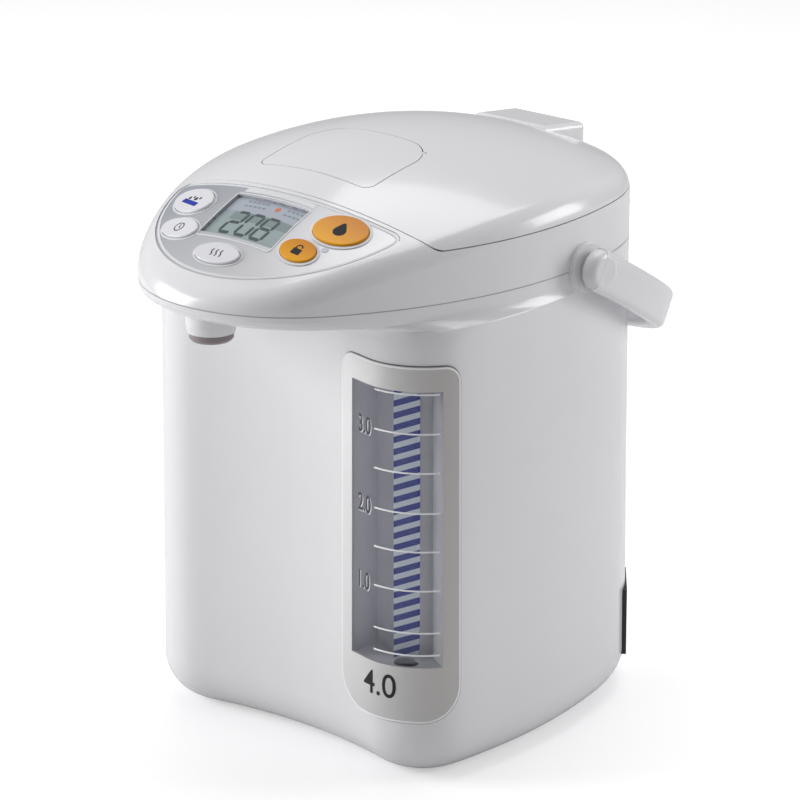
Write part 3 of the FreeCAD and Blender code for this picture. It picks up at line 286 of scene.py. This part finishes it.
slots = {part["node"]: part["material_slot"] for part in frame["record"]["subparts"]}
for node, obj in frame["nodes"].items():
    finish = FINISHES[slots[node]]
    if node in AMBER_BUTTONS:
        y, half = BUTTONS[node][1], BUTTONS[node][3]
        # Painted light and shade: each amber cap runs from a lit front colour to a shaded rear colour.
        finish = plastic("amber_" + node, AMBER, 0.34, coat=0.08, shade=0.05, specular=0.22)
        painted_light_ramp(finish, TO_REAR, (y - half) * MM, (y + half) * MM, AMBER_LIT_FRONT, AMBER_SHADED_REAR)
    obj.data.materials.clear()
    obj.data.materials.append(finish)


# ---- piece builders

def add_piece(name, points, faces, material, body, smooth=False):
    """A mesh object from points in millimetres that rides on a body."""
    mesh = bpy.data.meshes.new(name)
    mesh.from_pydata([tuple(p * MM) for p in points], [], faces)
    mesh.validate()
    mesh.update()
    mesh.polygons.foreach_set("use_smooth", [smooth] * len(mesh.polygons))
    obj = bpy.data.objects.new(name, mesh)
    bpy.context.scene.collection.objects.link(obj)
    obj.data.materials.append(material)
    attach(obj, body)
    return obj


def finer(outline, step):
    """The closed outline with points at most step apart."""
    points = []
    for k, (x0, y0) in enumerate(outline):
        x1, y1 = outline[(k + 1) % len(outline)]
        count = max(1, math.ceil(math.hypot(x1 - x0, y1 - y0) / step))
        points.extend((x0 + (x1 - x0) * i / count, y0 + (y1 - y0) * i / count)
                      for i in range(count))
    return points


def print_on(name, outlines, surface, material, body, lift=0.06, sink=0.05, step=1.0):
    """Thin raised print: each outline (u, v) becomes a plate on surface(u, v, lift)."""
    points, faces = [], []
    for outline in outlines:
        loop = finer(outline, step)
        base, count = len(points), len(loop)
        points.extend(surface(u, v, lift) for u, v in loop)
        points.extend(surface(u, v, -sink) for u, v in loop)
        faces.append(tuple(range(base, base + count)))
        for k in range(count):
            n = (k + 1) % count
            faces.append((base + n, base + k, base + count + k, base + count + n))
    return add_piece(name, points, faces, material, body)


def band_on(name, line, width, surface, material, body, lift=0.06, sink=0.05, closed=True):
    """A flat band of this width that follows a line of (u, v) points on a surface."""
    count = len(line)
    rows = []
    for k, (u, v) in enumerate(line):
        before = line[k - 1] if closed or k else line[k]
        after = line[(k + 1) % count] if closed or k < count - 1 else line[k]
        du, dv = after[0] - before[0], after[1] - before[1]
        length = math.hypot(du, dv)
        nu, nv = -dv / length * width / 2, du / length * width / 2
        rows.append([surface(u - nu, v - nv, -sink), surface(u - nu, v - nv, lift),
                     surface(u + nu, v + nv, lift), surface(u + nu, v + nv, -sink)])
    points = [p for row in rows for p in row]
    faces = []
    for k in range(count if closed else count - 1):
        a, b = 4 * k, 4 * ((k + 1) % count)
        faces.extend((a + i, b + i, b + (i + 1) % 4, a + (i + 1) % 4) for i in range(4))
    if not closed:
        end = 4 * (count - 1)
        faces.extend([(0, 1, 2, 3), (end + 3, end + 2, end + 1, end)])
    return add_piece(name, points, faces, material, body, smooth=False)


def sheet_on(name, low_u, high_u, low_v, high_v, surface, material, body, lift=0.0, step=2.0):
    """A thin rectangular sheet laid on a curved surface."""
    columns = max(2, math.ceil((high_u - low_u) / step))
    rows = max(2, math.ceil((high_v - low_v) / step))
    step_u, step_v = (high_u - low_u) / columns, (high_v - low_v) / rows
    points = [surface(low_u + step_u * i, low_v + step_v * j, lift)
              for j in range(rows + 1) for i in range(columns + 1)]
    faces = []
    for j in range(rows):
        for i in range(columns):
            a = j * (columns + 1) + i
            faces.append((a, a + 1, a + columns + 2, a + columns + 1))
    return add_piece(name, points, faces, material, body, smooth=True)


def oval_line(a, b, spin=0.0, cx=0.0, cy=0.0, count=64):
    angles = [2 * math.pi * k / count for k in range(count)]
    return spun([[(a * math.cos(t), b * math.sin(t)) for t in angles]], spin, cx, cy)[0]


def rounded_box(cx, cy, width, height, bend, count=6):
    line = []
    for k, (sx, sy) in enumerate(((1, 1), (-1, 1), (-1, -1), (1, -1))):
        for i in range(count + 1):
            angle = math.pi / 2 * (k + i / count)
            line.append((cx + sx * (width / 2 - bend) + bend * math.cos(angle),
                         cy + sy * (height / 2 - bend) + bend * math.sin(angle)))
    return line


def stroke(points, width):
    """The outline of an open stroke with square ends."""
    left, right = [], []
    for k, (x, y) in enumerate(points):
        x0, y0 = points[max(k - 1, 0)]
        x1, y1 = points[min(k + 1, len(points) - 1)]
        length = math.hypot(x1 - x0, y1 - y0)
        nx, ny = -(y1 - y0) / length * width / 2, (x1 - x0) / length * width / 2
        left.append((x + nx, y + ny))
        right.append((x - nx, y - ny))
    return left + right[::-1]


def arc_points(cx, cy, radius, start, end, count=12):
    angles = [math.radians(start + (end - start) * k / count) for k in range(count + 1)]
    return [(cx + radius * math.cos(a), cy + radius * math.sin(a)) for a in angles]


def spun(outlines, spin, cx=0.0, cy=0.0, scale=1.0):
    """The outlines turned by spin degrees, scaled, and moved to (cx, cy)."""
    across, up = scale * math.cos(math.radians(spin)), scale * math.sin(math.radians(spin))
    return [[(cx + u * across - v * up, cy + u * up + v * across) for u, v in line]
            for line in outlines]


NUMERAL_STEP, NUMERAL_BOLD = 1.2, 0.16


def numeral_mesh(text, height, squeeze, bold):
    """Flat outlines of plain numerals as a list of triangles' corner points (u, v)."""
    curve = bpy.data.curves.new("numeral", "FONT")
    curve.body = text
    curve.size = height / 0.73
    curve.offset = bold
    curve.fill_mode = "FRONT"
    curve.resolution_u = 6
    obj = bpy.data.objects.new("numeral", curve)
    bpy.context.scene.collection.objects.link(obj)
    bpy.context.view_layer.update()
    shown = obj.evaluated_get(bpy.context.evaluated_depsgraph_get())
    mesh = bpy.data.meshes.new_from_object(shown)
    grid = bmesh.new()
    grid.from_mesh(mesh)
    bmesh.ops.triangulate(grid, faces=grid.faces)
    for _ in range(4):
        long_edges = [e for e in grid.edges if e.calc_length() > NUMERAL_STEP]
        bmesh.ops.subdivide_edges(grid, edges=long_edges, cuts=1)
        bmesh.ops.triangulate(grid, faces=grid.faces)
    grid.to_mesh(mesh)
    grid.free()
    points = [(v.co.x * squeeze, v.co.y) for v in mesh.vertices]
    faces = [tuple(p.vertices) for p in mesh.polygons]
    bpy.data.objects.remove(obj)
    bpy.data.meshes.remove(mesh)
    return points, faces


def write_on(name, text, height, at, surface, material, body, lift=0.06, squeeze=0.82, bold=0.0):
    """Plain numerals printed on a surface, centred on at."""
    flat, faces = numeral_mesh(text, height, squeeze, bold)
    low_u, high_u = min(p[0] for p in flat), max(p[0] for p in flat)
    low_v, high_v = min(p[1] for p in flat), max(p[1] for p in flat)
    shift_u, shift_v = at[0] - (low_u + high_u) / 2, at[1] - (low_v + high_v) / 2
    points = [surface(u + shift_u, v + shift_v, lift) for u, v in flat]
    return add_piece(name, points, faces, material, body)


# ---- panel

def on_panel(u, v, lift):
    return dome(u, v, lift - PANEL_DROP)


def panel_edge(inset, count=90, rear_count=60):
    """The panel's outline, set in by inset: front arc, then the rear arc back."""
    radius = PANEL_RADIUS - inset
    rear = LID_RADIUS + PANEL_REAR - LID_FRONT + inset
    centre = LID_RADIUS - LID_FRONT
    line = []
    distance = centre - PANEL_Y
    along = (rear ** 2 - radius ** 2 + distance ** 2) / (2 * distance)
    half = math.sqrt(rear ** 2 - along ** 2)
    tip = Vector((half, centre - along))
    start = math.atan2(tip.y - PANEL_Y, tip.x)
    sweep = -math.pi - 2 * start
    for k in range(count + 1):
        angle = start + sweep * k / count
        line.append((radius * math.cos(angle), PANEL_Y + radius * math.sin(angle)))
    for k in range(1, rear_count):
        x = -half + 2 * half * k / rear_count
        line.append((x, centre - math.sqrt(rear ** 2 - x ** 2)))
    return line


def softened(line, rounds=6):
    """The closed line with its corners eased."""
    for _ in range(rounds):
        sides = zip(line[-1:] + line[:-1], line, line[1:] + line[:1])
        line = [((a[0] + 2 * p[0] + b[0]) / 4, (a[1] + 2 * p[1] + b[1]) / 4) for a, p, b in sides]
    return line


band_on("panel_rim", softened(panel_edge(1.4)), 1.1, on_panel, PALE_INK, "pot", lift=0.22)


def cap_surface(name, top=BUTTON_TOP):
    """The flat top of a button as a surface."""
    x, y = BUTTONS[name][:2]
    middle, normal = dome(x, y), dome_normal(x, y).normalized()
    turn = Vector((0, 0, 1)).rotation_difference(normal)

    def surface(u, v, lift):
        return middle + turn @ Vector((u, v, top + lift))
    return surface


def round_cap(name):
    """The panel round a button, reached along the way the button moves."""
    flat = cap_surface(name, 0.0)
    way = dome_normal(*BUTTONS[name][:2]).normalized()

    def surface(u, v, lift):
        point = flat(u, v, 0.0)
        for _ in range(4):
            point += way * (dome(point.x, point.y).z - point.z) * way.z
        return point + way * (lift - PANEL_DROP)
    return surface


for name, (x, y, a, b, spin) in BUTTONS.items():
    rim, height = (1.5, 0.5) if name in AMBER_BUTTONS else (1.1, 0.3)
    grow = RIM_GAP + rim / 2
    band_on(name.replace("button", "rim"), oval_line(a + grow, b + grow, spin), rim,
            round_cap(name), PALE_INK, "pot", lift=height)

DROP = [arc_points(0, -0.9, 2.6, 150, 390, 20) + [(0.5, 3.6), (-0.5, 3.6)]]
LOCK = [rounded_box(0, -1.3, 5.2, 4.0, 0.5),
        stroke([(-1.6, 0.5)] + arc_points(0, 1.6, 1.6, 180, 0, 10), 0.75)]
CLOCK = [stroke(arc_points(0, 0, 2.9, 95, 445, 32), 0.6),
         stroke([(0, 2.0), (0, 0), (1.4, -0.8)], 0.55)]
HEAT = [stroke([(x + 0.5 * math.sin(k * 1.1), -2.3 + k * 0.75) for k in range(7)], 0.7)
        for x in (-3.0, 0.0, 3.0)]
BUBBLES = [oval_line(r, r, 0, x, y, 20)
           for x, y, r in ((-4.6, 1.0, 1.1), (-1.6, 2.1, 0.8), (1.2, 0.9, 1.3), (4.2, 1.9, 0.9))]
ICONS = {"dispense_button": (DROP, 1.35), "unlock_button": (LOCK, 1.0), "temp_set_button": (HEAT, 1.0),
         "timer_button": (CLOCK, 1.0), "reboil_button": (BUBBLES, 1.0)}
for name, (outlines, scale) in ICONS.items():
    icon = spun(outlines, BUTTONS[name][4] * 0.6, scale=scale)
    print_on(name.replace("button", "icon"), icon, cap_surface(name), INK, name)
reboil_band = spun([rounded_box(0, -2.4, 15.0, 3.0, 0.4)], BUTTONS["reboil_button"][4])
print_on("reboil_band", reboil_band, cap_surface("reboil_button"), BLUE_INK, "reboil_button")


# ---- display: a recessed window with a pale frame, a ground, and dark segments

def on_display(u, v, lift):
    return dome(LCD_X + u, LCD_Y + v, lift - 2.05)


frame_line = finer(rounded_box(LCD_X, LCD_Y, LCD_WIDTH + 0.7, LCD_DEPTH + 0.7, 1.6), 1.5)
band_on("display_frame", frame_line, 0.7, on_panel, PALE_INK, "pot", lift=0.3)
display_ground = plastic("display_pale", (0.30, 0.37, 0.38), 0.45, grain=0.01)
display_strip = plastic("display_strip", (0.40, 0.43, 0.50), 0.45, grain=0.01)
display_dark = plastic("display_dark", (0.20, 0.26, 0.27), 0.45, grain=0.01)
segment_ink = plastic("segment_ink", (0.035, 0.055, 0.05), 0.5, grain=0.01)
sheet_on("display_sheet", -24.8, 24.8, -15.3, 15.3, on_display, display_ground, "pot", step=1.5)
sheet_on("display_header", -24.6, 24.6, 4.2, 15.1, on_display, display_strip, "pot", lift=0.05,
         step=1.5)
sheet_on("display_field", -17.0, 24.6, -1.5, 4.0, on_display, display_dark, "pot", lift=0.05,
         step=1.5)
sheet_on("plain_band", LCD_X - 23.0, LCD_X + 25.0, LCD_Y + 17.3, LCD_Y + 20.4, on_panel, PALE_INK,
         "pot", lift=0.08, step=1.5)


def segment_digit(digit, width=7.6, height=14.5, bar=1.9):
    """Outlines of a seven-segment digit, leaning a little."""
    gap, half_w, half_h = 0.25, width / 2, height / 2
    lit = {"0": "abcdef", "2": "abged", "8": "abcdefg"}[digit]
    level = {"a": half_h, "g": 0.0, "d": -half_h}
    upright = {"f": (-half_w, 1), "b": (half_w, 1), "e": (-half_w, -1), "c": (half_w, -1)}
    shapes = []
    thick = bar / 2
    for key in lit:
        if key in level:
            y, tip = level[key], half_w - gap
            shapes.append([(-tip, y), (-tip + thick, y + thick), (tip - thick, y + thick), (tip, y),
                           (tip - thick, y - thick), (-tip + thick, y - thick)])
        else:
            x, side = upright[key]
            near, far = side * gap, side * (half_h - gap)
            inner, outer = near + side * thick, far - side * thick
            shapes.append([(x, near), (x + thick, inner), (x + thick, outer), (x, far),
                           (x - thick, outer), (x - thick, inner)])
    return [[(x + y * 0.10, y) for x, y in shape] for shape in shapes]


for k, digit in enumerate("208"):
    shapes = spun(segment_digit(digit), 0, -11.0 + 10.6 * k, -3.4)
    print_on("digit_%d" % k, shapes, on_display, segment_ink, "pot", lift=0.09)


def mark_rows(x, y, pitch, width, per_row):
    """Two rows of small plain marks."""
    return [rounded_box(x + pitch * (k % per_row), y - 3.2 * (k // per_row), width, 1.2, 0.3)
            for k in range(2 * per_row)]


print_on("display_marks", mark_rows(-14.5, 12.2, 3.1, 2.3, 5), on_display, display_dark, "pot",
         lift=0.06)
print_on("display_marks_right", mark_rows(13.0, 12.0, 3.0, 2.2, 4), on_display, display_dark,
         "pot", lift=0.06)
print_on("display_dot", [oval_line(1.7, 1.7, 0, 6.4, 10.6, 24)], on_display,
         plastic("dot_ink", (0.62, 0.16, 0.10), 0.5), "pot", lift=0.08)


# ---- water gauge

def on_window(run, z, lift):
    return wall(run, z, lift - WINDOW_SINK)


def on_bezel(run, z, lift):
    return wall(run, z, lift + BEZEL_PROUD)


def bezel_line(inset):
    """The window bezel's outline, set in by inset."""
    left, right = BEZEL_LEFT + inset, BEZEL_RIGHT - inset
    low, high = BEZEL_LOW + inset, BEZEL_HIGH - inset
    wide, tight = 20.0 - inset, 9.0 - inset
    corners = ((right - wide, low + wide, wide), (right - tight, high - tight, tight),
               (left + tight, high - tight, tight), (left + wide, low + wide, wide))
    line = []
    for k, (x, y, bend) in enumerate(corners):
        line.extend(arc_points(x, y, bend, 90 * k - 90, 90 * k, 10))
    return finer(line, 1.5)


LEVEL_START, LEVEL_END = 6.0, 42.6
# Painted shade in the crevice where the bezel meets the wall.
band_on("bezel_gap_shade", bezel_line(-0.2), 0.4, wall, BEZEL_CREVICE_SHADE, "pot", lift=0.08)
band_on("bezel_rim", bezel_line(0.8), 0.9, on_bezel, LINE_INK, "pot", lift=0.06)


for k, z in enumerate((209.3, 188.5, 167.8, 146.5, 125.9, 104.9, 82.1, 70.0)):
    line = [(LEVEL_START + (LEVEL_END - LEVEL_START) * i / 24, z) for i in range(25)]
    band_on("level_line_%d" % k, line, 0.85, on_window, LINE_INK, "pot", lift=0.12, closed=False)
for text, z in (("3.0", 188.6), ("2.0", 146.6), ("1.0", 105.0)):
    label = "level_" + text.replace(".", "_")
    write_on(label + "_edge", text, 9.6, (-1.4, z - 0.45), on_window, PALE_INK, "pot", lift=0.08,
             squeeze=0.70, bold=NUMERAL_BOLD)
    write_on(label, text, 9.6, (-2.0, z), on_window, GREY_INK, "pot", lift=0.14, squeeze=0.70,
             bold=NUMERAL_BOLD)
write_on("capacity", "4.0", 13.4, (9.8, 52.0), on_bezel, INK, "pot", lift=0.08, squeeze=0.96,
         bold=0.07)


STRIP_HEADING = 42.0


def on_strip(across, z, lift):
    """The flat printed strip that stands behind the gauge tube and faces the corner."""
    turn = math.radians(STRIP_HEADING)
    back = GAUGE_RADIUS + 0.1 - lift
    return Vector((GAUGE_X + across * math.cos(turn) - back * math.sin(turn),
                   GAUGE_Y + across * math.sin(turn) + back * math.cos(turn), z))


STRIP_HALF, STRIP_LOW, STRIP_HIGH = 6.7, 58.0, 216.0
STRIPES, STRIPE_PITCH, STRIPE_RISE = 24, 6.45, 3.9
sheet_on("strip_ground", -STRIP_HALF, STRIP_HALF, STRIP_LOW, STRIP_HIGH, on_strip,
         plastic("strip_ground", (0.78, 0.85, 0.93), 0.4, grain=0.01), "pot", step=20.0)
stripes = []
for k in range(STRIPES):
    low = STRIP_LOW + 3.5 + STRIPE_PITCH * k
    high = low + STRIPE_PITCH * 0.52
    stripes.append([(-STRIP_HALF, low), (STRIP_HALF, low + STRIPE_RISE),
                    (STRIP_HALF, high + STRIPE_RISE), (-STRIP_HALF, high)])
print_on("strip_stripes", stripes, on_strip, BLUE_INK, "pot", lift=0.08, step=20.0)


# ---- seams

def ring_strip(name, line, z_low, z_high, material, body):
    """An upright strip all the way along a closed line."""
    points = [Vector((x, y, z)) for x, y in line for z in (z_low, z_high)]
    after = [(k + 1) % len(line) for k in range(len(line))]
    faces = [(2 * k, 2 * n, 2 * n + 1, 2 * k + 1) for k, n in enumerate(after)]
    return add_piece(name, points, faces, material, body, smooth=True)


ring_strip("head_seam", head_outline(0.05), SEAM - 0.25, SEAM + 0.25, SEAM_SHADE, "pot")


# ---- camera, floor and lights

def aim(obj, eye, target):
    obj.location = eye
    obj.rotation_mode = "QUATERNION"
    obj.rotation_quaternion = (target - eye).to_track_quat("-Z", "Y")


AZIMUTH, ELEVATION, DISTANCE = math.radians(42.0), math.radians(18.0), 2.2
target = Vector((0.00468, 0.00422, 0.1685))
back = Vector((math.sin(AZIMUTH) * math.cos(ELEVATION), -math.cos(AZIMUTH) * math.cos(ELEVATION),
               math.sin(ELEVATION)))
camera = bpy.data.objects.new("camera", bpy.data.cameras.new("camera"))
camera.data.sensor_width = 36.0
camera.data.lens = 187.1
camera.data.clip_start = 0.05
bpy.context.scene.collection.objects.link(camera)
aim(camera, target + back * DISTANCE, target)
bpy.context.scene.camera = camera

floor_mesh = bpy.data.meshes.new("floor")
corners = [(x, y, -0.0002) for x, y in ((-6, -6), (6, -6), (6, 6), (-6, 6))]
floor_mesh.from_pydata(corners, [], [(0, 1, 2, 3)])
floor = bpy.data.objects.new("floor", floor_mesh)
bpy.context.scene.collection.objects.link(floor)


def camera_white(material, own, strength):
    """Adds plain white to what the camera sees of a stage surface, and keeps its shading."""
    nodes, links = links_of(material)
    shader = nodes["Principled BSDF"]
    shader.inputs["Base Color"].default_value = own + (1,)
    shader.inputs["Roughness"].default_value = 0.9
    shader.inputs["Specular IOR Level"].default_value = 0.0
    path = nodes.new("ShaderNodeLightPath")
    seen = nodes.new("ShaderNodeMath")
    seen.operation = "MULTIPLY"
    seen.inputs[1].default_value = strength
    links.new(path.outputs["Is Camera Ray"], seen.inputs[0])
    shader.inputs["Emission Color"].default_value = (1, 1, 1, 1)
    links.new(seen.outputs["Value"], shader.inputs["Emission Strength"])


floor_finish = bpy.data.materials.new("floor")
floor_finish.use_nodes = True
camera_white(floor_finish, (0.80, 0.80, 0.81), 0.42)
floor.data.materials.append(floor_finish)

world = bpy.data.worlds.new("studio")
bpy.context.scene.world = world
world.use_nodes = True
nodes, links = world.node_tree.nodes, world.node_tree.links
sky = nodes["Background"]
path = nodes.new("ShaderNodeLightPath")
level = nodes.new("ShaderNodeMapRange")
level.inputs["To Min"].default_value = 0.27
level.inputs["To Max"].default_value = 1.0
links.new(path.outputs["Is Camera Ray"], level.inputs["Value"])
links.new(level.outputs["Result"], sky.inputs["Strength"])
sky.inputs["Color"].default_value = (1, 1, 1, 1)

LAMPS = (
    ("left_softbox", (-1.9, -1.4, 0.8), (1.4, 1.4), 44.0),
    ("top_softbox", (-0.2, 0.5, 2.2), (1.6, 1.6), 25.0),
    ("right_fill", (1.6, 1.9, 0.7), (1.0, 1.2), 22.0),
)
for name, eye, size, power in LAMPS:
    lamp = bpy.data.lights.new(name, "AREA")
    lamp.shape = "RECTANGLE"
    lamp.size, lamp.size_y = size
    lamp.energy = power
    obj = bpy.data.objects.new(name, lamp)
    bpy.context.scene.collection.objects.link(obj)
    aim(obj, Vector(eye), Vector((0, 0, 0.16)))

bpy.context.scene.view_settings.view_transform = "Standard"
# Light crosses the pane and the tube's walls on the way in and on the way out again.
bpy.context.scene.cycles.transparent_max_bounces = 24
